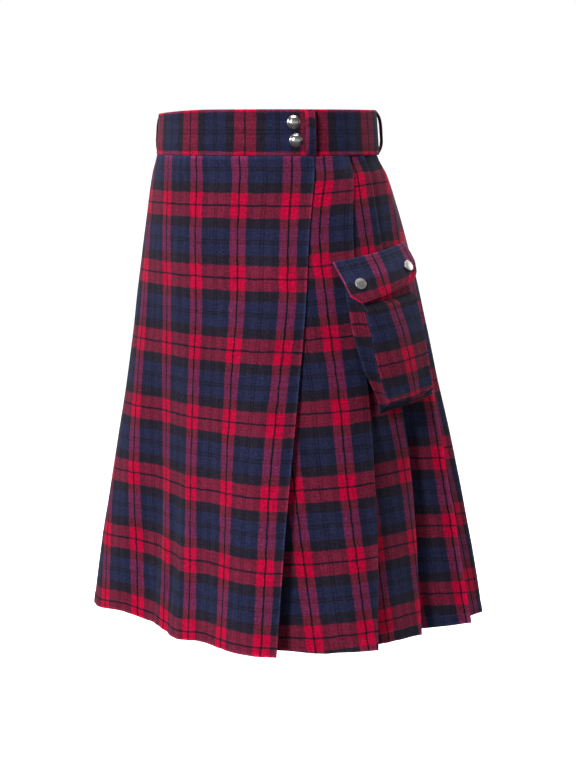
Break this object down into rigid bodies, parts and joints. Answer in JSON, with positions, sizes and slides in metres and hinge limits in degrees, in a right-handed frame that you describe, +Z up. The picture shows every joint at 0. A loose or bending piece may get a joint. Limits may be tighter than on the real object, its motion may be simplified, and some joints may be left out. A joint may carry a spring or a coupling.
{
  "type": "utility kilt",
  "caption": "Knee-length checked flannel kilt, worn shape: snapped waistband with belt loops, flat front apron, knife pleats, flapped cargo pocket.",
  "frame": {"origin": "centre of the waistband at half its height, where the wearer's waist holds it", "axes": "+Z up, the front apron faces -Y, the wearer's left (pocket side) is +X"},
  "size_m": [0.4396, 0.4363, 0.61],
  "materials": {
    "check": "brushed cotton flannel, red, navy and black check",
    "polished_snap": "polished nickel",
    "brushed_snap": "brushed nickel"
  },
  "bodies": {
    "root": {"waistband": "check", "front_apron": "check", "pleats_left": "check", "pleats_right": "check", "belt_loop_front_left": "check", "belt_loop_front_right": "check", "belt_loop_side_left": "check", "belt_loop_side_right": "check", "belt_loop_centre_back": "check", "pocket_gusset": "check", "pocket_face": "check", "pocket_flap": "check", "waist_snap_upper": "polished_snap", "waist_snap_lower": "polished_snap", "flap_snap_front": "brushed_snap", "flap_snap_back": "brushed_snap"}
  },
  "joints": []
}
